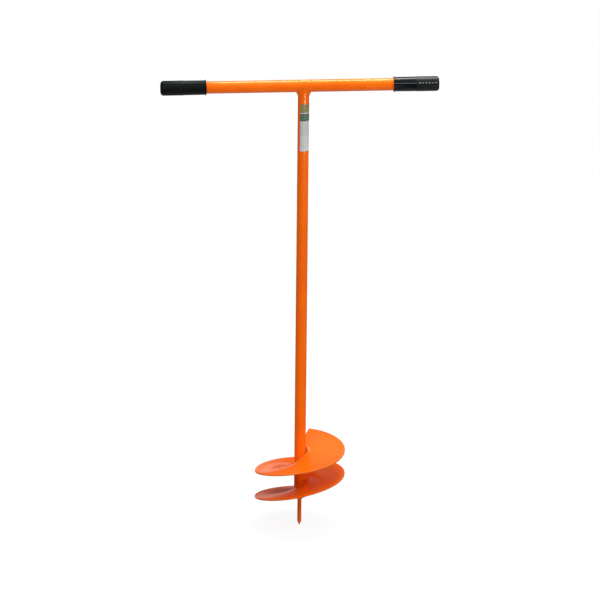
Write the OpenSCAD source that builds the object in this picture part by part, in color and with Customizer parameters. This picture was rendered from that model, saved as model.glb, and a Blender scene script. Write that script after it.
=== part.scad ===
// Hand earth auger: a welded T of steel tube with push-on grips, two helical
// sheet flights and a pointed pilot rod.
// The stem stands on the Z axis, the pilot's tip is at the origin and the handle lies along X.

/* [Handle] */
// Height from the pilot's tip to the top of the handle tube
overall_h = 1050; // [800:5:1300]
// Outside diameter of the handle tube
handle_d = 27.5; // [26:0.5:34]
// Wall of the handle tube
handle_wall = 2; // [1.2:0.1:3]
// Length of the handle tube
handle_l = 612; // [440:2:800]
// Distance from the middle of the handle to the stem
stem_shift = 8.5; // [0:0.5:30]

/* [Grips] */
// Length of a grip, from its collar to its closed end
grip_l = 101; // [80:1:140]
// Diameter of a grip beside its collar
grip_d = 32; // [30:0.5:40]
// How much wider a grip's plain half gets towards its middle
grip_flare = 0.5; // [0:0.1:4]
// Length of the plain half
grip_plain_l = 50; // [30:1:60]
// Height of the step up to the thicker half
grip_step = 0.3; // [0.2:0.05:1]
// Length over which that step rises
grip_step_l = 2; // [1:0.5:5]
// Thickness of a grip's closed end
grip_end_t = 3; // [2:0.5:6]
// Radius of the rounded rim of the closed end
grip_round = 4; // [1:0.5:5]
// Diameter of the collar
collar_d = 35; // [34:0.5:46]
// Thickness of the collar
collar_t = 2.6; // [2:0.2:8]

/* [Stem] */
// Outside diameter of the stem tube
stem_d = 25; // [20:0.5:25.5]
// Wall of the stem tube
stem_wall = 2; // [1.2:0.1:3]
// Length of the plug in the foot of the stem
plug_l = 14; // [8:1:30]

/* [Flights] */
// Diameter of the flights, and of the hole that they drill
flight_d = 200; // [120:2:300]
// Thickness of the flights' sheet
sheet_t = 2.5; // [2:0.5:5]
// Drop of the upper flight over its turn
upper_drop = 68.5; // [50:0.5:90]
// How far the upper flight's rim leans up on the right
upper_lean = 8; // [0:0.5:16]
// How far the upper flight's rim dips at the front, below an even screw
upper_dip = 2.5; // [-12:0.5:12]
// How far the upper flight's rim sags on the right and on the left, below an even screw
upper_sag = 4.5; // [0:0.5:8]
// Drop of the lower flight's rim over its turn
lower_drop = 68; // [50:0.5:90]
// Drop of the lower flight's inner edge over its turn
lower_hub_drop = 54.5; // [40:0.5:80]
// How far the lower flight's rim leans up on the right
lower_lean = 12.5; // [0:0.5:16]
// How far the lower flight's rim dips at the front, below an even screw
lower_dip = -8.5; // [-12:0.5:12]
// Direction in which both flights start, from the X axis
flight_start = 74; // [0:1:359]
// Arc of the lower flight that is ground down to its cutting edge
edge_arc = 8; // [4:1:20]
// Thickness left at the cutting edge
edge_t = 0.8; // [0.4:0.1:2]
// Radius of the relief notch in the upper flight
notch_r = 9.5; // [6:0.5:12]
// How far the notch reaches out from the stem
notch_depth = 4; // [3:0.5:10]
// Where the notch lies, in degrees down the turn
notch_at = 79; // [50:1:300]

/* [Pilot] */
// Length of the pilot rod below the stem
pilot_l = 66.5; // [40:0.5:120]
// Diameter of the pilot rod
pilot_d = 9; // [6:0.5:11]
// Diameter of the thicker shank that sits in the plug
shank_d = 12; // [8:0.5:15]
// Length of the taper from the rod to its shank
taper_l = 1.5; // [1:0.5:5]
// Length of the pilot's point
point_l = 9; // [5:0.5:20]
// Diameter of the blunt end of the point
point_d = 2; // [1:0.5:4]

/* [Welds] */
// Leg of the fillet weld between stem and handle
handle_leg = 5; // [3:0.5:7]
// Leg of the fillet welds between stem and flights
flight_leg = 2.5; // [2:0.5:6]
// Leg of the fillet weld round the pilot rod's shank
pilot_leg = 5; // [3:0.5:6]
// Width of the bead across the joint of the flights
bead_w = 8; // [5:0.5:12]
// Height of that bead at its middle
bead_h = 1.6; // [0.8:0.1:3]

/* [Label] */
// Height of the label
label_h = 110; // [40:1:160]
// Width of the label, measured round the stem
label_w = 40; // [15:1:60]
// Distance from the handle's axis down to the label's top
label_drop = 39.5; // [30:0.5:120]
// Direction of the label's left edge, from the X axis
label_left = -129; // [-180:1:180]

/* [Hidden] */

$fn = 64;
// Room between a grip's bore and the handle tube, all round
grip_clear = 0.1;
// Room between pieces of steel that are welded together
fit_clear = 0.1;
// Room between a weld bead and the steel that it lies on
weld_clear = 0.15;
// Thickness of the label and of the glue under it
label_t = 0.25;
glue_t = 0.05;
// Thickness left at the thin toes of a hollow fillet
toe_t = 0.1;
// Arc left bare between a notch or a flight's end and the end of a bead
bare_arc = 4;
// Overlap of a cutting solid past the face that it cuts
cut = 1;
// Step of the flights and their welds, in degrees, and steps from a flight's inner edge to its rim
step = 4;
rim_steps = 4;

handle_r = handle_d / 2;
handle_z = overall_h - handle_r;
stem_r = stem_d / 2;
flight_r = flight_d / 2;
hub_r = stem_r + fit_clear;
plug_r = stem_r - stem_wall - fit_clear;
pilot_r = pilot_d / 2;
shank_r = shank_d / 2;
stem_z = pilot_l;
shank_z = stem_z - weld_clear - pilot_leg;

// Heights of the flights' upper faces: where the lower one ends at the stem, where the two meet,
// and where the upper one starts
lower_end_z = stem_z + sheet_t;
joint_z = lower_end_z + lower_hub_drop;
upper_start_z = joint_z + upper_drop;

// A flight's own figures: start height, drop at the stem, drop at the rim, lean, dip and sag
UPPER = [upper_start_z, upper_drop, upper_drop, upper_lean, upper_dip, upper_sag];
LOWER = [joint_z, lower_hub_drop, lower_drop, lower_lean, lower_dip, 0];

// Height of a flight's upper face, turned by a from its start, at radius r
function flight_z(f, a, r) =
    let (out = (r - hub_r) / (flight_r - hub_r))
    f[0] - (f[1] + (f[2] - f[1]) * out) * a / 360
    + out * (f[3] * sin(a) - f[4] * (1 - cos(a)) / 2 - f[5] * pow(sin(a), 2));

// A point on or near that face, lifted by h: the screw is right-handed, so it turns clockwise going down
function flight_point(f, a, r, h) =
    [r * cos(flight_start - a), r * sin(flight_start - a), flight_z(f, a, r) + h];

// Section of a flight, turned by a, with its inner edge at radius r and its sheet t thick: out along the
// upper face and back along the lower one, in steps that widen towards the rim
function flight_ring(f, a, r, t) =
    let (radii = [for (k = [0:rim_steps]) r * pow(flight_r / r, k / rim_steps)])
    [for (side = [0, 1], k = [0:rim_steps])
        flight_point(f, a, radii[side == 0 ? k : rim_steps - k], -t * side)];

// Inner radius of the upper flight, where the round notch opens it beside the stem
notch_c = stem_r + notch_depth - notch_r;
function notch_edge(a) =
    notch_c * cos(a) + sqrt(max(0, pow(notch_r, 2) - pow(notch_c * sin(a), 2)));
function upper_inner_r(a) = max(hub_r, notch_edge(a - notch_at));

// Half the arc that the notch takes from the stem's side, with the bare steel beyond it
notch_cos = (pow(hub_r, 2) + pow(notch_c, 2) - pow(notch_r, 2)) / (2 * hub_r * notch_c);
notch_half = acos(max(-1, min(1, notch_cos))) + bare_arc;

// Sheet thickness of the lower flight, ground away on its under side towards the cutting edge
function lower_t(a) = sheet_t - (sheet_t - edge_t) * max(0, a - 360 + edge_arc) / edge_arc;

// Triangles over a row of rings with equal numbers of points, with flat ends unless it closes on itself
module skin(rings, closed = false) {
    n = len(rings);
    m = len(rings[0]);
    walls = [for (i = [0:(closed ? n : n - 1) - 1], j = [0:m - 1])
        let (here = i * m, next = (i + 1) % n * m, k = (j + 1) % m)
        each [[here + j, here + k, next + k], [here + j, next + k, next + j]]];
    ends = closed ? [] : [for (j = [1:m - 2])
        each [[0, j + 1, j], [(n - 1) * m, (n - 1) * m + j, (n - 1) * m + j + 1]]];
    polyhedron(points = [for (ring = rings) each ring], faces = concat(walls, ends), convexity = 10);
}

// A cylinder along X, from x to x + l
module bar(x, l, r) {
    translate([x, 0, 0])
        rotate([0, 90, 0])
            cylinder(h = l, r = r);
}

module handle_tube() {
    left = -stem_shift - handle_l / 2;
    color("#EE5C05")
        translate([0, 0, handle_z])
            difference() {
                bar(left, handle_l, handle_r);
                bar(left - cut, handle_l + 2 * cut, handle_r - handle_wall);
            }
}

// Half the section of a grip, with its collar at the bottom and its closed end at the top
module grip_section() {
    plain_r = (grip_d + grip_flare) / 2;
    end_r = plain_r + grip_step;
    difference() {
        union() {
            polygon([[0, 0], [grip_d / 2, 0], [plain_r, grip_plain_l], [end_r, grip_plain_l + grip_step_l],
                     [end_r, grip_l - grip_round], [end_r - grip_round, grip_l], [0, grip_l]]);
            translate([end_r - grip_round, grip_l - grip_round])
                circle(grip_round);
            square([collar_d / 2 - collar_t / 2, collar_t]);
            translate([collar_d / 2 - collar_t / 2, collar_t / 2])
                circle(collar_t / 2);
        }
        translate([-cut, -cut])
            square([cut + handle_r + grip_clear, cut + grip_l - grip_end_t]);
        translate([-grip_d, -cut])
            square([grip_d, grip_l + 2 * cut]);
    }
}

// A grip on the end of the handle that lies along side * X
module grip(side) {
    color("#15191B")
        translate([-stem_shift + side * (handle_l / 2 + grip_end_t - grip_l), 0, handle_z])
            rotate([0, side * 90, 0])
                rotate_extrude()
                    grip_section();
}

module left_grip() {
    grip(-1);
}

module right_grip() {
    grip(1);
}

module stem_tube() {
    color("#EE5C05")
        difference() {
            translate([0, 0, stem_z])
                cylinder(h = handle_z - stem_z, r = stem_r);
            translate([0, 0, stem_z - cut])
                cylinder(h = handle_z - stem_z + 2 * cut, r = stem_r - stem_wall);
            translate([0, 0, handle_z])
                bar(-stem_d, 2 * stem_d, handle_r + fit_clear);
        }
}

// A saddle-shaped fillet: at each angle round the stem, its section runs from the root out along the handle
// and back to the toe on the stem
module handle_weld() {
    sr = stem_r + weld_clear;
    hr = handle_r + weld_clear;
    reach = handle_leg / hr * 180 / PI;
    function on_handle(a, t) =
        let (around = asin(min(1, sr / hr) * sin(a)) + t * reach * sin(a))
        [(sr + t * handle_leg) * cos(a), hr * sin(around), handle_z - hr * cos(around)];
    color("#EE5C05")
        skin([for (a = [0:7.5:359])
            let (root = on_handle(a, 0))
            [root, on_handle(a, 0.5), on_handle(a, 1), root - [0, 0, handle_leg]]], closed = true);
}

module label() {
    inner_r = stem_r + glue_t;
    arc = label_w / inner_r * 180 / PI;
    color("#C8C4C2")
        translate([0, 0, handle_z - label_drop - label_h])
            rotate([0, 0, label_left])
                rotate_extrude(angle = arc)
                    translate([inner_r, 0])
                        square([label_t, label_h]);
}

module upper_flight() {
    color("#EE5C05")
        skin([for (a = [0:step:360]) flight_ring(UPPER, a, upper_inner_r(a), sheet_t)]);
}

module lower_flight() {
    color("#EE5C05")
        skin([for (a = [0:step:360]) flight_ring(LOWER, a, hub_r, lower_t(a))]);
}

// A fillet bead between the stem and a flight's upper face, over the turn from one angle to another
module flight_bead(f, from, to) {
    near = stem_r + weld_clear;
    far = stem_r + flight_leg;
    n = ceil((to - from) / step);
    skin([for (i = [0:n])
        let (a = from + (to - from) * i / n)
        [flight_point(f, a, near, weld_clear), flight_point(f, a, near, flight_leg),
         flight_point(f, a, far, weld_clear)]]);
}

// The bead that closes the notch in the lower half of the sheet, out to the notch's edge
module notch_bead() {
    near = stem_r + weld_clear;
    arc = [for (a = [0:step:360]) if (notch_edge(a - notch_at) > hub_r + 1) a];
    skin([for (a = arc)
        let (far = upper_inner_r(a) - weld_clear)
        [flight_point(UPPER, a, near, -sheet_t / 2), flight_point(UPPER, a, far, -sheet_t / 2),
         flight_point(UPPER, a, far, -sheet_t), flight_point(UPPER, a, near, -sheet_t)]]);
}

module upper_flight_weld() {
    color("#EE5C05") {
        flight_bead(UPPER, bare_arc, notch_at - notch_half);
        flight_bead(UPPER, notch_at + notch_half, 360 - bare_arc);
        notch_bead();
    }
}

module lower_flight_weld() {
    color("#EE5C05")
        flight_bead(LOWER, bare_arc, 360 - bare_arc);
}

// A flat bead on the upper faces, along the radial line where the lower flight carries on from the upper one
module flight_joint_weld() {
    inner = stem_r + 2 * flight_leg;
    steps = 12;
    color("#EE5C05")
        skin([for (i = [0:steps])
            let (r = inner + (flight_r - inner) * i / steps, half = asin(bead_w / 2 / r))
            [flight_point(UPPER, 360, r, weld_clear), flight_point(UPPER, 360 - half, r, weld_clear),
             flight_point(UPPER, 360, r, bead_h), flight_point(LOWER, half, r, weld_clear)]]);
}

module stem_end_plug() {
    color("#9A9A98")
        translate([0, 0, stem_z])
            difference() {
                cylinder(h = plug_l, r = plug_r);
                translate([0, 0, -cut])
                    cylinder(h = plug_l + 2 * cut, r = shank_r + fit_clear);
            }
}

module pilot_rod() {
    color("#EE5C05") {
        cylinder(h = point_l, r1 = point_d / 2, r2 = pilot_r);
        translate([0, 0, point_l])
            cylinder(h = shank_z - taper_l - point_l, r = pilot_r);
        translate([0, 0, shank_z - taper_l])
            cylinder(h = taper_l, r1 = pilot_r, r2 = shank_r);
        translate([0, 0, shank_z])
            cylinder(h = stem_z + plug_l - shank_z, r = shank_r);
    }
}

// A hollow fillet between the shank and the foot of the stem
module pilot_weld() {
    color("#EE5C05")
        translate([0, 0, shank_z])
            rotate_extrude()
                translate([shank_r + weld_clear, 0])
                    difference() {
                        square(pilot_leg);
                        translate([pilot_leg, 0])
                            circle(pilot_leg - toe_t);
                    }
}

handle_tube();
left_grip();
right_grip();
stem_tube();
handle_weld();
label();
upper_flight();
upper_flight_weld();
lower_flight();
lower_flight_weld();
flight_joint_weld();
stem_end_plug();
pilot_rod();
pilot_weld();
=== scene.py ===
"""A hand earth auger: orange enamelled steel, black moulded grips and a plain printed label."""
import math

import bmesh
import bpy
from mathutils import Matrix, Quaternion, Vector


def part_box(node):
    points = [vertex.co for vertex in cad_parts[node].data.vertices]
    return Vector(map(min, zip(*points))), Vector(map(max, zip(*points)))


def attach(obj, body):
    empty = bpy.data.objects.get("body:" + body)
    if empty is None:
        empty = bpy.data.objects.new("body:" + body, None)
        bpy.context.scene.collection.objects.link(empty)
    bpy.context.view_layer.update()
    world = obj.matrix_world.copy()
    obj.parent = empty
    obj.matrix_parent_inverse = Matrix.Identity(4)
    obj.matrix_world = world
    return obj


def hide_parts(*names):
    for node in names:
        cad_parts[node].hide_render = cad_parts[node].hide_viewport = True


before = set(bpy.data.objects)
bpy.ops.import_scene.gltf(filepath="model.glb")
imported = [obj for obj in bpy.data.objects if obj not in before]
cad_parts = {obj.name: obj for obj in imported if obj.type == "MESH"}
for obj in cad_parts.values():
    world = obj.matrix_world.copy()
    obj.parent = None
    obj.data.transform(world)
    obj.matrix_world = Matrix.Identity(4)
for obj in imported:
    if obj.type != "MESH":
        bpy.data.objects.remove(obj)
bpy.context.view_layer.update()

MM = 0.001
TAU = math.tau
X, Y, Z = range(3)


def radius_of(node, axis):
    """Radius of a round node: half of its size along an axis that crosses it."""
    low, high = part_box(node)
    return (high[axis] - low[axis]) / 2


# Gap that the solids keep where one piece fits over another
SEAT_GAP = 0.1 * MM

# Handle and stem
handle_low, handle_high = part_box("handle_tube")
HANDLE_R = radius_of("handle_tube", Z)
HANDLE_Z = (handle_high.z + handle_low.z) / 2
HANDLE_WALL = 2 * MM
STEM_R = radius_of("stem_tube", Y)
STEM_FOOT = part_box("stem_tube")[0].z
STEM_WALL = 2 * MM
TUBE_END_ROUND = 0.5 * MM

# Grips: a plain half beside the collar, then a step up to a stippled half with a rounded closed end
COLLAR_R = radius_of("left_grip", Z)
COLLAR_T = 2.6 * MM
COLLAR_FILLET = 0.6 * MM
GRIP_BORE_R = HANDLE_R + SEAT_GAP
GRIP_R = 16 * MM
GRIP_PLAIN_R = 16.25 * MM
GRIP_PLAIN_L = 50 * MM
GRIP_THICK_R = 16.55 * MM
GRIP_STEP_L = 2 * MM
GRIP_ROUND = 6.5 * MM
GRIP_END_T = 3 * MM
# The raised line that the two halves of the mould leave, and the angle in radians that counts as on it
SEAM_H = 0.45 * MM
SEAM_WITHIN = 0.01
# How far above the front that line lies on each grip, as they were pushed on
LEFT_RISE = math.radians(230)
RIGHT_RISE = math.radians(24)
# A row of low studs on the line, along the stippled half
STUDS = 6
STUDS_START = GRIP_PLAIN_L + 2 * GRIP_STEP_L
STUD_PITCH = 7 * MM
STUD_L = 4.6 * MM
STUD_W = 4 * MM
STUD_H = 0.85 * MM
STUD_SEGMENTS = 24
# Places of the finishes in a grip's list, where the plain half's comes first
STIPPLED_FINISH = 1
STUD_FINISH = 2

# Flights: sheet, hub, rim, and the direction in which they start, from the X axis
SHEET_T = 2.5 * MM
HUB_R = STEM_R + SEAT_GAP
FLIGHT_R = radius_of("upper_flight", Y)
FLIGHT_START = math.radians(74)
FLIGHT_STEPS = 180
FLIGHT_RINGS = 24
# An edge of the sheet that turns by more than this is softened
SHEET_EDGE = math.radians(50)
RIM_BEVEL = 0.3 * MM
# Faces this close to the rim have the thin enamel of its sheared edge
RIM_BAND = RIM_BEVEL / 4
# How far out from the stem the spray lands dry on a flight, and how much rougher the enamel is by the stem
DRY_SPRAY = 12 * MM
DRY_ROUGHNESS = 0.6
# Shallow waves that forming leaves in the sheet
WAVE_H = 0.3 * MM
WAVES = 5
# Drop at the hub and at the rim over a turn, with the lean, the dip and the sag of the rim, and the height of
# the upper face at the hub, where the turn starts
LOWER = {"hub_drop": 54.5 * MM, "rim_drop": 68 * MM, "lean": 12.5 * MM, "dip": -8.5 * MM, "sag": 0}
UPPER = {"hub_drop": 68.5 * MM, "rim_drop": 68.5 * MM, "lean": 8 * MM, "dip": 2.5 * MM, "sag": 4.5 * MM}
LOWER["start"] = STEM_FOOT + SHEET_T + LOWER["hub_drop"]
UPPER["start"] = LOWER["start"] + UPPER["hub_drop"]
# The lower flight's ground cutting edge
EDGE_ARC = math.radians(8)
EDGE_T = 0.8 * MM
# The relief notch of the upper flight, beside the stem, and half the arc that it takes from the hub
NOTCH_R = 9.5 * MM
NOTCH_DEPTH = 4 * MM
NOTCH_CENTRE = STEM_R + NOTCH_DEPTH - NOTCH_R
NOTCH_AT = math.radians(79)
NOTCH_HALF = math.acos((HUB_R ** 2 + NOTCH_CENTRE ** 2 - NOTCH_R ** 2) / (2 * HUB_R * NOTCH_CENTRE))
# The bead that closes it: how deep its middle lies and half its thickness, as shares of the sheet's, and the
# place of its finish in its piece's list, where the enamel comes first
NOTCH_BEAD_MIDDLE = 0.85
NOTCH_BEAD_HALF = 0.15
# Its finish is dark brown: painted shade that deepens the recess
PAINTED_SHADE_FINISH = 1

# Fillet beads: their legs along the handle, down the stem, at the flights and at the pilot rod
HANDLE_LEG = 5 * MM
HANDLE_LEG_DOWN = 10.5 * MM
FLIGHT_LEG = 2.5 * MM
PILOT_LEG = 5 * MM
# How a fillet's face runs between its legs: below 2 it swells out, above 2 it is hollow
FULL_FACE = 1.6
FLAT_FACE = 2.1
HOLLOW_FACE = 2.6
# The flat bead across the joint of the flights, and the bare steel between its end and the rim
JOINT_BEAD_W = 8 * MM
JOINT_BEAD_H = 1.6 * MM
JOINT_BEAD_BARE = 1 * MM
# How deep a bead sinks into the steel, how soon it runs out at an open end, and the bare arc beyond that
BEAD_SINK = 0.4 * MM
BEAD_END = 3 * MM
BARE_ARC = math.radians(4)
# The ripples that the torch leaves, and how far they lag at a bead's edges, in radians
RIPPLE_PITCH = 2.4 * MM
RIPPLE_SHARE = 0.07
RIPPLE_LAG = 2
STEPS_PER_RIPPLE = 8
BEAD_POINTS = 16

# Pilot rod: a blunt point, a plain length, a short taper and a thicker shank
PILOT_R = 4.5 * MM
SHANK_R = radius_of("pilot_rod", X)
SHANK_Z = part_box("pilot_weld")[0].z
SHANK_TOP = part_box("pilot_rod")[1].z
TAPER_L = 1.5 * MM
POINT_L = 9 * MM
POINT_R = 1 * MM
POINT_ROUND = 0.5 * MM
# Where the rounding of the point runs into its cone, in degrees
POINT_ROUND_END = 110

# Label, and the direction of its left edge, from the X axis
label_low, label_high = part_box("label")
LABEL_GAP = 0.05 * MM
LABEL_R = STEM_R + LABEL_GAP
LABEL_T = 0.25 * MM
LABEL_W = 40 * MM
LABEL_LEFT = math.radians(-129)
LABEL_STEPS = 64
# Its printed bands: where each starts, as a share of the label's height from its foot, and its ink
LABEL_BANDS = [
    (0.0, "#C3C9CE"), (0.09, "#9C9D9B"), (0.1, "#C2C0BD"), (0.34, "#9C9D9B"), (0.35, "#B9B8B5"),
    (0.62, "#D6D4CE"), (0.635, "#24402F"), (0.655, "#2F5F47"), (0.8, "#DAD6CA"), (0.815, "#80703C")]

# Meshes: steps of a full turn, of small roundings, of a grip's collar and of its closed end
ROUND_STEPS = 192
EDGE_STEPS = 4
COLLAR_STEPS = 10
GRIP_END_STEPS = 8
# Edges that turn by more than this look sharp, and points closer than this become one
SMOOTH_ANGLE = math.radians(35)
MERGE = 0.002 * MM
ALONG_HANDLE = Vector((1, 0, 0))
ALONG_STEM = Vector((0, 0, 1))

# Camera: the view of the photograph, from far away because its tubes keep their width along their length
CAMERA_AZIMUTH = math.radians(-4.8)
CAMERA_ELEVATION = math.radians(20)
CAMERA_ROLL = math.radians(0.58)
CAMERA_AIM = Vector((-0.0033, 0, 0.5322))
CAMERA_DISTANCE = 45.0
FIELD_WIDTH = 1.332

# Studio: the floor, and how much of its white stays in a shadow
FLOOR_SIZE = 80.0
FLOOR_WHITE = 0.89
# What the glossy pieces mirror, by direction: straight down at 0, level at 0.5 and straight up at 1. The
# floor is pale straight below and dim off to the side, the foot of the walls white, the walls dim and the
# ceiling grey
SURROUNDINGS = [
    (0.05, "#E9E9E9"), (0.25, "#464646"), (0.493, "#464646"), (0.495, "#FFFFFF"), (0.51, "#FFFFFF"),
    (0.54, "#C8C8C8"), (0.565, "#343434"), (0.675, "#343434"), (0.825, "#9C9C9C")]
# How much of that they mirror, so that the enamel keeps its colour
MIRRORED = 0.75
# The soft light of the room, from level at 0 to straight up at 1
SKY = [(0.3, "#505050"), (0.85, "#F0F0F0")]
SKY_STRENGTH = 1.5


def srgb(code):
    """Linear colour of an sRGB hex code."""
    parts = [int(code[i:i + 2], 16) / 255 for i in (1, 3, 5)]
    linear = [c / 12.92 if c <= 0.04045 else ((c + 0.055) / 1.055) ** 2.4 for c in parts]
    return (*linear, 1.0)


def add(tree, kind, settings=None, links=None):
    """Adds a shader node, sets its properties, sockets or colour stops, and links its inputs."""
    node = tree.nodes.new("ShaderNode" + kind)
    for name, value in (settings or {}).items():
        if name == "stops":
            band = node.color_ramp.elements
            while len(band) < len(value):
                band.new(1.0)
            for stop, (position, code) in zip(band, value):
                stop.position = position
                stop.color = srgb(code)
        elif name == "interpolation":
            node.color_ramp.interpolation = value
        elif isinstance(name, int) or name in node.inputs:
            node.inputs[name].default_value = value
        else:
            setattr(node, name, value)
    for name, source in (links or {}).items():
        tree.links.new(source, node.inputs[name])
    return node


def new_material(name):
    """An empty node material, with its tree and the place of its object's points."""
    material = bpy.data.materials.new(name)
    material.use_nodes = True
    tree = material.node_tree
    tree.nodes.clear()
    return material, tree, add(tree, "TexCoord").outputs["Object"]


def sprayed_enamel():
    """Gloss enamel sprayed on steel: an even orange, a little deeper where the coat lies thick, with soft
    warm highlights that go dull where the spray lands dry in a corner. Its dimples are drawn 3 mm wide,
    coarser than real ones, so that they show."""
    material, tree, place = new_material("sprayed_orange_enamel")
    coat = add(tree, "TexNoise", {"Scale": 1 / (90 * MM), "Detail": 3.0}, {"Vector": place})
    colour = add(tree, "ValToRGB", {"stops": [(0.3, "#F0610A"), (0.7, "#FB6E0D")]}, {
        "Fac": coat.outputs["Fac"]})
    haze = add(tree, "TexNoise", {"Scale": 1 / (25 * MM), "Detail": 2.0}, {"Vector": place})
    gloss = add(tree, "MapRange", {"To Min": 0.12, "To Max": 0.22}, {"Value": haze.outputs["Fac"]})
    dry = add(tree, "Attribute", {"attribute_name": "dry_spray"})
    rough = add(tree, "Math", {"operation": "MULTIPLY_ADD", 1: DRY_ROUGHNESS}, {
        0: dry.outputs["Fac"], 2: gloss.outputs["Result"]})
    dimple = add(tree, "TexNoise", {"Scale": 1 / (3 * MM), "Detail": 1.0}, {"Vector": place})
    bump = add(tree, "Bump", {"Strength": 0.04, "Distance": 0.2 * MM}, {"Height": dimple.outputs["Fac"]})
    paint = add(tree, "BsdfPrincipled", {"IOR": 1.45, "Specular Tint": srgb("#FFE2B4")}, {
        "Base Color": colour.outputs["Color"], "Roughness": rough.outputs[0],
        "Normal": bump.outputs["Normal"]})
    add(tree, "OutputMaterial", links={"Surface": paint.outputs["BSDF"]})
    return material


def mottled_finish(name, patch, detail, colours, roughness, settings):
    """A finish whose colour and roughness change together over soft patches of one size."""
    material, tree, place = new_material(name)
    mottle = add(tree, "TexNoise", {"Scale": 1 / patch, "Detail": detail}, {"Vector": place})
    colour = add(tree, "ValToRGB", {"stops": colours}, {"Fac": mottle.outputs["Fac"]})
    smoothest, roughest = roughness
    rough = add(tree, "MapRange", {"To Min": smoothest, "To Max": roughest}, {
        "Value": mottle.outputs["Fac"]})
    surface = add(tree, "BsdfPrincipled", settings, {
        "Base Color": colour.outputs["Color"], "Roughness": rough.outputs["Result"]})
    add(tree, "OutputMaterial", links={"Surface": surface.outputs["BSDF"]})
    return material


def thin_enamel():
    """The same enamel where it runs thin over a sheared edge: darker, browner and duller in patches."""
    return mottled_finish(
        "thin_orange_enamel_on_sheared_steel", patch=6 * MM, detail=3.0,
        colours=[(0.3, "#B4521A"), (0.7, "#E0650F")], roughness=(0.35, 0.5), settings={"IOR": 1.5})


def painted_shade_weld():
    """Weld metal in the notch's narrow recess: dull brown under traces of orange, darkened as painted
    shade of the recess."""
    return mottled_finish(
        "weld_with_painted_recess_shade", patch=4 * MM, detail=3.0,
        colours=[(0.35, "#8A3E14"), (0.65, "#B5561F")], roughness=(0.55, 0.75), settings={"IOR": 1.35})


def plain_vinyl():
    """Black vinyl from the polished part of its mould: nearly black, with soft grey highlights."""
    return mottled_finish(
        "moulded_black_vinyl_plain", patch=14 * MM, detail=3.0,
        colours=[(0.3, "#04070A"), (0.7, "#090D0F")], roughness=(0.18, 0.28),
        settings={"IOR": 1.5, "Specular IOR Level": 0.22})


def glint_painted_vinyl():
    """The same vinyl in pale grey for the studs: painted highlights, glints that show against the black."""
    return mottled_finish(
        "moulded_black_vinyl_painted_glint", patch=3 * MM, detail=2.0,
        colours=[(0.3, "#3A4142"), (0.7, "#626A6B")], roughness=(0.35, 0.5),
        settings={"IOR": 1.5, "Specular IOR Level": 0.3})


def dulled_vinyl():
    """The same vinyl for the left grip: a deeper black and duller, its highlight faint and spread wide."""
    return mottled_finish(
        "moulded_black_vinyl_dulled", patch=20 * MM, detail=3.0,
        colours=[(0.3, "#03070A"), (0.7, "#070B0D")], roughness=(0.42, 0.54),
        settings={"IOR": 1.5, "Specular IOR Level": 0.14})


def stippled_vinyl():
    """Black vinyl from the etched part of its mould: a stipple that breaks its highlights into grains. The
    grains are drawn 1.2 mm wide, coarser than real ones, so that they show."""
    material, tree, place = new_material("moulded_black_vinyl_stippled")
    bloom = add(tree, "TexNoise", {"Scale": 1 / (14 * MM), "Detail": 3.0}, {"Vector": place})
    colour = add(tree, "ValToRGB", {"stops": [(0.3, "#05080A"), (0.7, "#0B0F11")]}, {
        "Fac": bloom.outputs["Fac"]})
    grain = add(tree, "TexNoise", {"Scale": 1 / (1.2 * MM), "Detail": 1.0}, {"Vector": place})
    bump = add(tree, "Bump", {"Strength": 0.5, "Distance": 0.15 * MM}, {"Height": grain.outputs["Fac"]})
    vinyl = add(tree, "BsdfPrincipled", {"IOR": 1.5, "Specular IOR Level": 0.25, "Roughness": 0.42}, {
        "Base Color": colour.outputs["Color"], "Normal": bump.outputs["Normal"]})
    add(tree, "OutputMaterial", links={"Surface": vinyl.outputs["BSDF"]})
    return material


def printed_paper():
    """A paper sticker with a satin face: plain printed bands over a pale field, a little uneven in their
    ink."""
    material, tree, place = new_material("printed_label_paper")
    axes = add(tree, "SeparateXYZ", links={"Vector": add(tree, "UVMap", {"uv_map": "print"}).outputs["UV"]})
    bands = add(tree, "ValToRGB", {"interpolation": "CONSTANT", "stops": LABEL_BANDS}, {
        "Fac": axes.outputs["Y"]})
    ink = add(tree, "TexNoise", {"Scale": 1 / (8 * MM), "Detail": 3.0}, {"Vector": place})
    fade = add(tree, "MapRange", {"To Min": 0.0, "To Max": 0.15}, {"Value": ink.outputs["Fac"]})
    # The Mix node takes its two colours at sockets 6 and 7
    colour = add(tree, "Mix", {"data_type": "RGBA", 7: srgb("#CCCAC6")}, {
        0: fade.outputs["Result"], 6: bands.outputs["Color"]})
    paper = add(tree, "BsdfPrincipled", {"IOR": 1.48, "Roughness": 0.42}, {"Base Color": colour.outputs[2]})
    add(tree, "OutputMaterial", links={"Surface": paper.outputs["BSDF"]})
    return material


def pale_floor():
    """A matt studio floor: white paper to the camera, with a share left that takes the shadow, and pale to
    what it lights from below."""
    material, tree, _ = new_material("pale_studio_floor")
    seen = add(tree, "LightPath").outputs["Is Camera Ray"]
    share = add(tree, "Math", {"operation": "MULTIPLY", 1: FLOOR_WHITE}, {0: seen})
    paper = add(tree, "BsdfDiffuse", {"Color": srgb("#FFFFFF")})
    pale = add(tree, "BsdfDiffuse", {"Color": srgb("#949494")})
    matt = add(tree, "MixShader", links={0: seen, 1: pale.outputs[0], 2: paper.outputs[0]})
    white = add(tree, "Emission", {"Color": srgb("#FFFFFF"), "Strength": 1.0})
    mixed = add(tree, "MixShader", links={0: share.outputs[0], 1: matt.outputs[0], 2: white.outputs[0]})
    add(tree, "OutputMaterial", links={"Surface": mixed.outputs[0]})
    return material


ENAMEL = sprayed_enamel()
EDGE_ENAMEL = thin_enamel()
PAINTED_SHADE_WELD = painted_shade_weld()
PLAIN_VINYL = plain_vinyl()
STIPPLED_VINYL = stippled_vinyl()
GLINT_PAINTED_VINYL = glint_painted_vinyl()
DULLED_VINYL = dulled_vinyl()
LABEL_PAPER = printed_paper()


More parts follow.
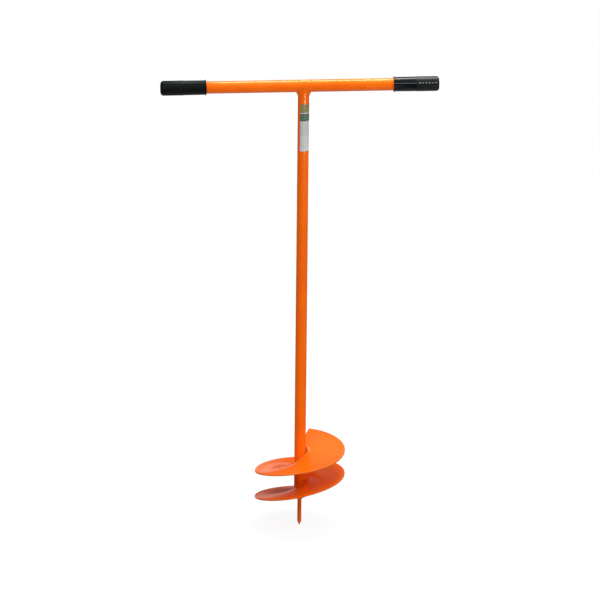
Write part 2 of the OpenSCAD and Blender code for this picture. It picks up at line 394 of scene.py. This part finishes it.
def new_object(name, bm, materials):
    """A smooth-shaded object with the bmesh's shape, its faces pointing outwards."""
    bmesh.ops.recalc_face_normals(bm, faces=bm.faces)
    mesh = bpy.data.meshes.new(name)
    bm.to_mesh(mesh)
    bm.free()
    mesh.shade_smooth()
    mesh.set_sharp_from_angle(angle=SMOOTH_ANGLE)
    for material in materials:
        mesh.materials.append(material)
    made = bpy.data.objects.new(name, mesh)
    bpy.context.scene.collection.objects.link(made)
    return made


def make_piece(name, bm, materials, node):
    """A piece that rides with the tool and stands for its node."""
    piece = new_object(name, bm, materials)
    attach(piece, "root")
    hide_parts(node)


def arc(centre, radius, first, last, steps):
    """Points of an arc in the plane of (along, out), from one angle to another in degrees."""
    turns = [math.radians(first + (last - first) * i / steps) for i in range(steps + 1)]
    return [(centre[0] + radius * math.cos(turn), centre[1] + radius * math.sin(turn)) for turn in turns]


def lathe(outline, axis, closed=False):
    """Turns an outline of (along, out) points round the X or the Z axis."""
    bm = bmesh.new()
    verts = [bm.verts.new((along, 0, out) if axis.x else (out, 0, along)) for along, out in outline]
    ends = verts[1:] + verts[:1] if closed else verts[1:]
    edges = [bm.edges.new(pair) for pair in zip(verts, ends)]
    bmesh.ops.spin(
        bm, geom=verts + edges, cent=(0, 0, 0), axis=axis, angle=TAU, steps=ROUND_STEPS, use_merge=True)
    bmesh.ops.remove_doubles(bm, verts=bm.verts, dist=MERGE)
    return bm


def tube(first, last, radius, wall, axis):
    """A straight tube with its outer edges broken."""
    r = TUBE_END_ROUND
    return lathe([
        (first, radius - wall), *arc((first + r, radius - r), r, 180, 90, EDGE_STEPS),
        *arc((last - r, radius - r), r, 90, 0, EDGE_STEPS), (last, radius - wall)], axis, closed=True)


def handle_tube():
    """The cross handle."""
    bm = tube(handle_low.x, handle_high.x, HANDLE_R, HANDLE_WALL, ALONG_HANDLE)
    bmesh.ops.translate(bm, verts=bm.verts, vec=(0, 0, HANDLE_Z))
    make_piece("cross_handle", bm, [ENAMEL], "handle_tube")


def stem_tube():
    """The upright tube, with its top end coped to sit round the handle."""
    bm = tube(STEM_FOOT, HANDLE_Z, STEM_R, STEM_WALL, ALONG_STEM)
    # The top end, with its broken edge, takes the curve of the handle
    for vert in bm.verts:
        if vert.co.z > HANDLE_Z - 2 * TUBE_END_ROUND:
            vert.co.z = HANDLE_Z - math.sqrt(HANDLE_R ** 2 - vert.co.y ** 2)
    make_piece("stem", bm, [ENAMEL], "stem_tube")


def grip_outline(length):
    """Outline of a grip: the end of its bore, its collar, its two halves and the middle of its closed end."""
    collar_round = COLLAR_T / 2
    return [
        (length - GRIP_END_T, 0), (length - GRIP_END_T, GRIP_BORE_R), (0, GRIP_BORE_R),
        *arc((collar_round, COLLAR_R - collar_round), collar_round, 180, 0, COLLAR_STEPS),
        *arc((COLLAR_T + COLLAR_FILLET, GRIP_R + COLLAR_FILLET), COLLAR_FILLET, 180, 270, EDGE_STEPS),
        (GRIP_PLAIN_L, GRIP_PLAIN_R), (GRIP_PLAIN_L + GRIP_STEP_L, GRIP_THICK_R),
        *arc((length - GRIP_ROUND, GRIP_THICK_R - GRIP_ROUND), GRIP_ROUND, 90, 0, GRIP_END_STEPS),
        (length, 0)]


def raise_seam(bm):
    """Lifts the line of the mould along the front and the back of a grip."""
    for vert in bm.verts:
        out = vert.co.yz
        turned = math.atan2(out.y, out.x) % math.pi
        on_line = min(turned, math.pi - turned) < SEAM_WITHIN
        if on_line and GRIP_R - MM < out.length < GRIP_THICK_R + MM:
            vert.co.yz = out * (1 + SEAM_H / out.length)


def add_studs(bm):
    """Adds the row of studs along the front of a grip's stippled half."""
    for k in range(STUDS):
        stud = bmesh.ops.create_uvsphere(
            bm, u_segments=STUD_SEGMENTS, v_segments=STUD_SEGMENTS // 2, radius=1)["verts"]
        bmesh.ops.scale(bm, verts=stud, vec=(STUD_L / 2, STUD_H, STUD_W / 2))
        bmesh.ops.translate(bm, verts=stud, vec=(STUDS_START + (k + 0.5) * STUD_PITCH, -GRIP_THICK_R, 0))
        for face in {face for vert in stud for face in vert.link_faces}:
            face.material_index = STUD_FINISH


def grip(name, side, node, rise, materials):
    """A push-on grip whose collar faces the stem, on the end of the handle that lies along side * X. Its
    seam lies at a rise above the front. The materials are those of its plain half, its stippled half and
    its studs."""
    low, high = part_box(node)
    bm = lathe(grip_outline(high.x - low.x), ALONG_HANDLE)
    raise_seam(bm)
    for face in bm.faces:
        if face.calc_center_median().x > GRIP_PLAIN_L:
            face.material_index = STIPPLED_FINISH
    add_studs(bm)
    bmesh.ops.rotate(bm, verts=bm.verts, cent=(0, 0, 0), matrix=Matrix.Rotation(-rise, 3, "X"))
    bmesh.ops.scale(bm, verts=bm.verts, vec=(side, 1, 1))
    bmesh.ops.translate(bm, verts=bm.verts, vec=(low.x if side > 0 else high.x, 0, HANDLE_Z))
    make_piece(name, bm, materials, node)


def added_verts(extruded):
    """The new points of an extrusion."""
    return [item for item in extruded["geom"] if isinstance(item, bmesh.types.BMVert)]


def label():
    """A printed sheet wrapped round the front and the right of the stem."""
    bm = bmesh.new()
    bm.loops.layers.uv.new("print")
    bmesh.ops.create_grid(bm, x_segments=LABEL_STEPS, y_segments=1, size=0.5, calc_uvs=True)
    for vert in bm.verts:
        turn = LABEL_LEFT + (vert.co.x + 0.5) * LABEL_W / LABEL_R
        z = label_low.z + (vert.co.y + 0.5) * (label_high.z - label_low.z)
        vert.co = (LABEL_R * math.cos(turn), LABEL_R * math.sin(turn), z)
    outer = bmesh.ops.extrude_face_region(bm, geom=bm.faces[:], use_keep_orig=True)
    for vert in added_verts(outer):
        vert.co.xy *= (LABEL_R + LABEL_T) / LABEL_R
    make_piece("stem_label", bm, [LABEL_PAPER], "label")


def flight_height(figures, turn, radius):
    """Height of a flight's upper face, turned down from its start, at a radius."""
    out = (radius - HUB_R) / (FLIGHT_R - HUB_R)
    drop = figures["hub_drop"] + (figures["rim_drop"] - figures["hub_drop"]) * out
    sway = figures["lean"] * math.sin(turn) - figures["dip"] * (1 - math.cos(turn)) / 2
    sag = figures["sag"] * math.sin(turn) ** 2
    return figures["start"] - drop * turn / TAU + out * (sway - sag)


def over_flight(figures, turn, radius, lift):
    """A point over that face. The screw is right-handed, so it turns clockwise going down."""
    angle = FLIGHT_START - turn
    height = flight_height(figures, turn, radius) + lift
    return Vector((radius * math.cos(angle), radius * math.sin(angle), height))


def notched_hub(turn):
    """Inner radius of the upper flight, which its notch opens beside the stem."""
    angle = turn - NOTCH_AT
    chord = NOTCH_R ** 2 - (NOTCH_CENTRE * math.sin(angle)) ** 2
    return max(HUB_R, NOTCH_CENTRE * math.cos(angle) + math.sqrt(max(0, chord)))


def plain_hub(turn):
    """Inner radius of the lower flight."""
    return HUB_R


def even_sheet(turn):
    """Thickness of the upper flight."""
    return SHEET_T


def ground_sheet(turn):
    """Thickness of the lower flight, ground away on its under side towards the cutting edge."""
    return SHEET_T - (SHEET_T - EDGE_T) * max(0, turn - TAU + EDGE_ARC) / EDGE_ARC


def flight(name, node, figures, inner_radius, thickness):
    """A turn of sheet steel, laid out as a grid of turn by radius, then thickened and its edges softened. It
    carries how dry the spray lies on it, most by the stem, for the enamel."""
    bm = bmesh.new()
    turned = bm.verts.layers.float.new("turned")
    bmesh.ops.create_grid(bm, x_segments=FLIGHT_STEPS, y_segments=FLIGHT_RINGS, size=0.5)
    for vert in bm.verts:
        turn = (vert.co.x + 0.5) * TAU
        out = vert.co.y + 0.5
        inner = inner_radius(turn)
        wave = WAVE_H * out * (math.cos(WAVES * turn) - 1) / 2
        vert[turned] = turn
        # The rings lie closer together towards the hub
        vert.co = over_flight(figures, turn, inner * (FLIGHT_R / inner) ** out, wave)
    under = bmesh.ops.extrude_face_region(bm, geom=bm.faces[:], use_keep_orig=True)
    for vert in added_verts(under):
        vert.co.z -= thickness(vert[turned])
    bmesh.ops.recalc_face_normals(bm, faces=bm.faces)
    edges = [edge for edge in bm.edges if edge.calc_face_angle(0) > SHEET_EDGE]
    bmesh.ops.bevel(
        bm, geom=edges, offset=RIM_BEVEL, affect="EDGES", segments=2, profile=0.5, material=-1,
        clamp_overlap=True)
    dry = bm.verts.layers.float.new("dry_spray")
    for vert in bm.verts:
        away = min(1, max(0, (vert.co.xy.length - HUB_R) / DRY_SPRAY))
        # Fades smoothly from 1 at the hub to 0
        vert[dry] = 1 - away ** 2 * (3 - 2 * away)
    for face in bm.faces:
        face.material_index = int(min(vert.co.xy.length for vert in face.verts) > FLIGHT_R - RIM_BAND)
    make_piece(name, bm, [ENAMEL, EDGE_ENAMEL], node)


def bead(bm, length, section_spot, closed=False, finish=0):
    """Adds a weld bead: a grid of share of length by angle round the section, rolled up into a closed skin.
    Its ripples lag towards its edges, and its open ends are rounded off. section_spot gives a point from that
    share and angle, the swell of the ripple there, and how full the bead is."""
    ripples = max(1, round(length / RIPPLE_PITCH))
    skin = bmesh.ops.create_grid(
        bm, x_segments=ripples * STEPS_PER_RIPPLE, y_segments=BEAD_POINTS, size=0.5)["verts"]
    for vert in skin:
        share = vert.co.x + 0.5
        angle = (vert.co.y + 0.5) * TAU
        swell = 1 + RIPPLE_SHARE * math.sin(TAU * ripples * share - RIPPLE_LAG * math.cos(angle) ** 2)
        to_end = 1 if closed else min(1, min(share, 1 - share) * length / BEAD_END)
        full = math.sqrt(max(0, 1 - (1 - to_end) ** 2))
        vert.co = section_spot(share, angle, swell, full)
        for face in vert.link_faces:
            face.material_index = finish
    bmesh.ops.remove_doubles(bm, verts=bm.verts, dist=MERGE)


def fillet(angle, face):
    """Section of a fillet bead, in legs: its face over the corner, then its back along the steel."""
    if angle < math.pi:
        return abs(math.cos(angle / 2)) ** face, abs(math.sin(angle / 2)) ** face
    back = (angle - 1.5 * math.pi) / (math.pi / 2)
    return max(0, back), max(0, -back)


def bead_piece(name, node, length, section_spot, closed=False):
    """A single bead, as a piece of its own."""
    bm = bmesh.new()
    bead(bm, length, section_spot, closed)
    make_piece(name, bm, [ENAMEL], node)


def flight_fillet(bm, figures, first, last):
    """Adds a fillet bead between the stem and a flight's upper face, from one turn to another."""
    def spot(share, angle, swell, full):
        out, up = (leg * FLIGHT_LEG * swell * full for leg in fillet(angle, FULL_FACE))
        turn = first + (last - first) * share
        return over_flight(figures, turn, STEM_R - BEAD_SINK + out, up - BEAD_SINK)

    bead(bm, (last - first) * STEM_R, spot)


def notch_bead(bm):
    """Adds the bead that closes the notch in the lowest third of the sheet."""
    def spot(share, angle, swell, full):
        turn = NOTCH_AT + (2 * share - 1) * NOTCH_HALF
        width = notched_hub(turn) + BEAD_SINK - STEM_R
        depth = (NOTCH_BEAD_MIDDLE - NOTCH_BEAD_HALF * math.sin(angle) * swell) * SHEET_T
        return over_flight(UPPER, turn, STEM_R - BEAD_SINK + width * (1 + math.cos(angle)) / 2, -depth)

    # The bead's dark brown finish is painted shade for the recess
    bead(bm, 2 * NOTCH_HALF * STEM_R, spot, finish=PAINTED_SHADE_FINISH)


def upper_flight_weld():
    """The upper flight's beads: one on each side of its notch, and the one that closes it, in painted shade.
    """
    bm = bmesh.new()
    flight_fillet(bm, UPPER, BARE_ARC, NOTCH_AT - NOTCH_HALF - BARE_ARC)
    flight_fillet(bm, UPPER, NOTCH_AT + NOTCH_HALF + BARE_ARC, TAU - BARE_ARC)
    notch_bead(bm)
    make_piece("upper_blade_bead", bm, [ENAMEL, PAINTED_SHADE_WELD], "upper_flight_weld")


def lower_flight_weld():
    """The lower flight's bead, over its whole turn."""
    bm = bmesh.new()
    flight_fillet(bm, LOWER, BARE_ARC, TAU - BARE_ARC)
    make_piece("lower_blade_bead", bm, [ENAMEL], "lower_flight_weld")


def joint_weld():
    """A flat bead along the radial line where the lower flight carries on from the upper one, from beyond the
    fillets by the stem almost to the rim."""
    inner = STEM_R + 2 * FLIGHT_LEG
    length = FLIGHT_R - inner - JOINT_BEAD_BARE

    def spot(share, angle, swell, full):
        radius = inner + length * share
        across = math.cos(angle) * JOINT_BEAD_W / 2 * full
        rise = max(0, math.sin(angle)) * JOINT_BEAD_H * swell + min(0, math.sin(angle)) * BEAD_SINK
        figures, turn = (LOWER, across / radius) if across > 0 else (UPPER, TAU + across / radius)
        return over_flight(figures, turn, radius, rise * full)

    bead_piece("blade_joint_bead", "flight_joint_weld", length, spot)


def handle_weld():
    """The saddle-shaped fillet bead round the joint of stem and handle, its longer leg down the stem."""
    stem_r = STEM_R - BEAD_SINK
    handle_r = HANDLE_R - BEAD_SINK

    def spot(share, angle, swell, full):
        across, down = fillet(angle, FLAT_FACE)
        out = across * HANDLE_LEG * swell
        turn = share * TAU
        round_handle = math.asin(stem_r / handle_r * math.sin(turn)) + out / handle_r * math.sin(turn)
        return Vector((
            (stem_r + out) * math.cos(turn), handle_r * math.sin(round_handle),
            HANDLE_Z - handle_r * math.cos(round_handle) - down * HANDLE_LEG_DOWN * swell))

    bead_piece("handle_bead", "handle_weld", TAU * STEM_R, spot, closed=True)


def pilot_rod():
    """The rod below the stem, with a blunt point and a thicker shank."""
    bm = lathe([
        (0, 0),
        *arc((POINT_ROUND, POINT_R - POINT_ROUND), POINT_ROUND, 180, POINT_ROUND_END, EDGE_STEPS),
        (POINT_L, PILOT_R), (SHANK_Z - TAPER_L, PILOT_R),
        (SHANK_Z, SHANK_R), (SHANK_TOP, SHANK_R), (SHANK_TOP, 0)], ALONG_STEM)
    make_piece("pilot", bm, [ENAMEL], "pilot_rod")


def pilot_weld():
    """The hollow fillet bead between the shank and the foot of the stem."""
    def spot(share, angle, swell, full):
        out, down = (leg * PILOT_LEG * swell for leg in fillet(angle, HOLLOW_FACE))
        radius = SHANK_R - BEAD_SINK + out
        turn = share * TAU
        return Vector((radius * math.cos(turn), radius * math.sin(turn), STEM_FOOT + BEAD_SINK - down))

    bead_piece("pilot_bead", "pilot_weld", TAU * SHANK_R, spot, closed=True)


def stem_end_plug():
    """The plug inside the foot of the stem: its own solid, in the same enamel."""
    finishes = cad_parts["stem_end_plug"].data.materials
    finishes.clear()
    finishes.append(ENAMEL)


def studio_floor():
    """The floor. The glossy pieces don't mirror it, but the floor that the surroundings hold."""
    bm = bmesh.new()
    bmesh.ops.create_grid(bm, x_segments=1, y_segments=1, size=FLOOR_SIZE / 2)
    floor = new_object("floor", bm, [pale_floor()])
    floor.visible_glossy = False


def surroundings():
    """The room: its soft light, and what the camera and the glossy pieces see of it."""
    world = bpy.data.worlds.new("studio")
    bpy.context.scene.world = world
    world.use_nodes = True
    tree = world.node_tree
    tree.nodes.clear()
    aim = add(tree, "SeparateXYZ", links={"Vector": add(tree, "TexCoord").outputs["Generated"]})
    upwards = add(tree, "MapRange", {"From Min": -1.0}, {"Value": aim.outputs["Z"]})
    room = add(tree, "ValToRGB", {"interpolation": "EASE", "stops": SURROUNDINGS}, {
        "Fac": upwards.outputs["Result"]})
    sky = add(tree, "ValToRGB", {"stops": SKY}, {"Fac": aim.outputs["Z"]})
    light = add(tree, "Background", {"Strength": SKY_STRENGTH}, {"Color": sky.outputs["Color"]})
    seen = add(tree, "Background", {"Strength": 1.0}, {"Color": room.outputs["Color"]})
    rays = add(tree, "LightPath")
    reflected = add(tree, "Math", {"operation": "MAXIMUM"}, {
        0: rays.outputs["Is Glossy Ray"], 1: rays.outputs["Is Transmission Ray"]})
    share = add(tree, "Math", {"operation": "MULTIPLY_ADD", 1: MIRRORED, "use_clamp": True}, {
        0: reflected.outputs[0], 2: rays.outputs["Is Camera Ray"]})
    mixed = add(tree, "MixShader", links={0: share.outputs[0], 1: light.outputs[0], 2: seen.outputs[0]})
    add(tree, "OutputWorld", links={"Surface": mixed.outputs[0]})


def soft_box(name, place, aim, size, power):
    """A rectangular lamp that points at aim."""
    lamp = bpy.data.lights.new(name, "AREA")
    lamp.shape = "RECTANGLE"
    lamp.size, lamp.size_y = size
    lamp.energy = power
    stand = bpy.data.objects.new(name, lamp)
    stand.location = place
    stand.rotation_euler = (Vector(aim) - Vector(place)).to_track_quat("-Z", "Y").to_euler()
    bpy.context.scene.collection.objects.link(stand)


def studio():
    """Pale floor, soft surroundings, a lamp above the handle, a wide one on each side in front, and a small
    low one that points at the handle's joint."""
    studio_floor()
    surroundings()
    soft_box("overhead_soft_box", place=(0.19, 0.2, 1.42), aim=(0.19, 0.2, 0), size=(0.78, 0.21), power=7.5)
    soft_box("right_soft_box", place=(4.1, -3.3, 3.6), aim=(0, 0, 0.5), size=(2.0, 2.0), power=117)
    soft_box("left_soft_box", place=(-3.1, -4.5, 3.7), aim=(0, 0, 0.5), size=(2.0, 2.0), power=90)
    soft_box("low_soft_box", place=(1.05, -2.0, 0.19), aim=(0, 0, 0.99), size=(0.4, 0.14), power=9)


def camera():
    """A long lens at the photograph's angle."""
    lens = bpy.data.cameras.new("camera")
    lens.lens = lens.sensor_width * CAMERA_DISTANCE / FIELD_WIDTH
    lens.clip_end = 2 * CAMERA_DISTANCE
    back = Vector((
        math.sin(CAMERA_AZIMUTH) * math.cos(CAMERA_ELEVATION),
        -math.cos(CAMERA_AZIMUTH) * math.cos(CAMERA_ELEVATION), math.sin(CAMERA_ELEVATION)))
    stand = bpy.data.objects.new("camera", lens)
    stand.rotation_mode = "QUATERNION"
    stand.location = CAMERA_AIM + back * CAMERA_DISTANCE
    stand.rotation_quaternion = (-back).to_track_quat("-Z", "Y") @ Quaternion((0, 0, 1), CAMERA_ROLL)
    bpy.context.scene.collection.objects.link(stand)
    bpy.context.scene.camera = stand


handle_tube()
stem_tube()
handle_weld()
grip("left_hand_grip", -1, "left_grip", LEFT_RISE, [DULLED_VINYL] * 3)
# Its studs take the pale grey vinyl: painted highlights
grip("right_hand_grip", 1, "right_grip", RIGHT_RISE, [PLAIN_VINYL, STIPPLED_VINYL, GLINT_PAINTED_VINYL])
label()
flight("upper_blade", "upper_flight", UPPER, notched_hub, even_sheet)
flight("lower_blade", "lower_flight", LOWER, plain_hub, ground_sheet)
upper_flight_weld()
lower_flight_weld()
joint_weld()
pilot_rod()
pilot_weld()
stem_end_plug()

studio()
camera()
bpy.context.scene.view_settings.view_transform = "Standard"
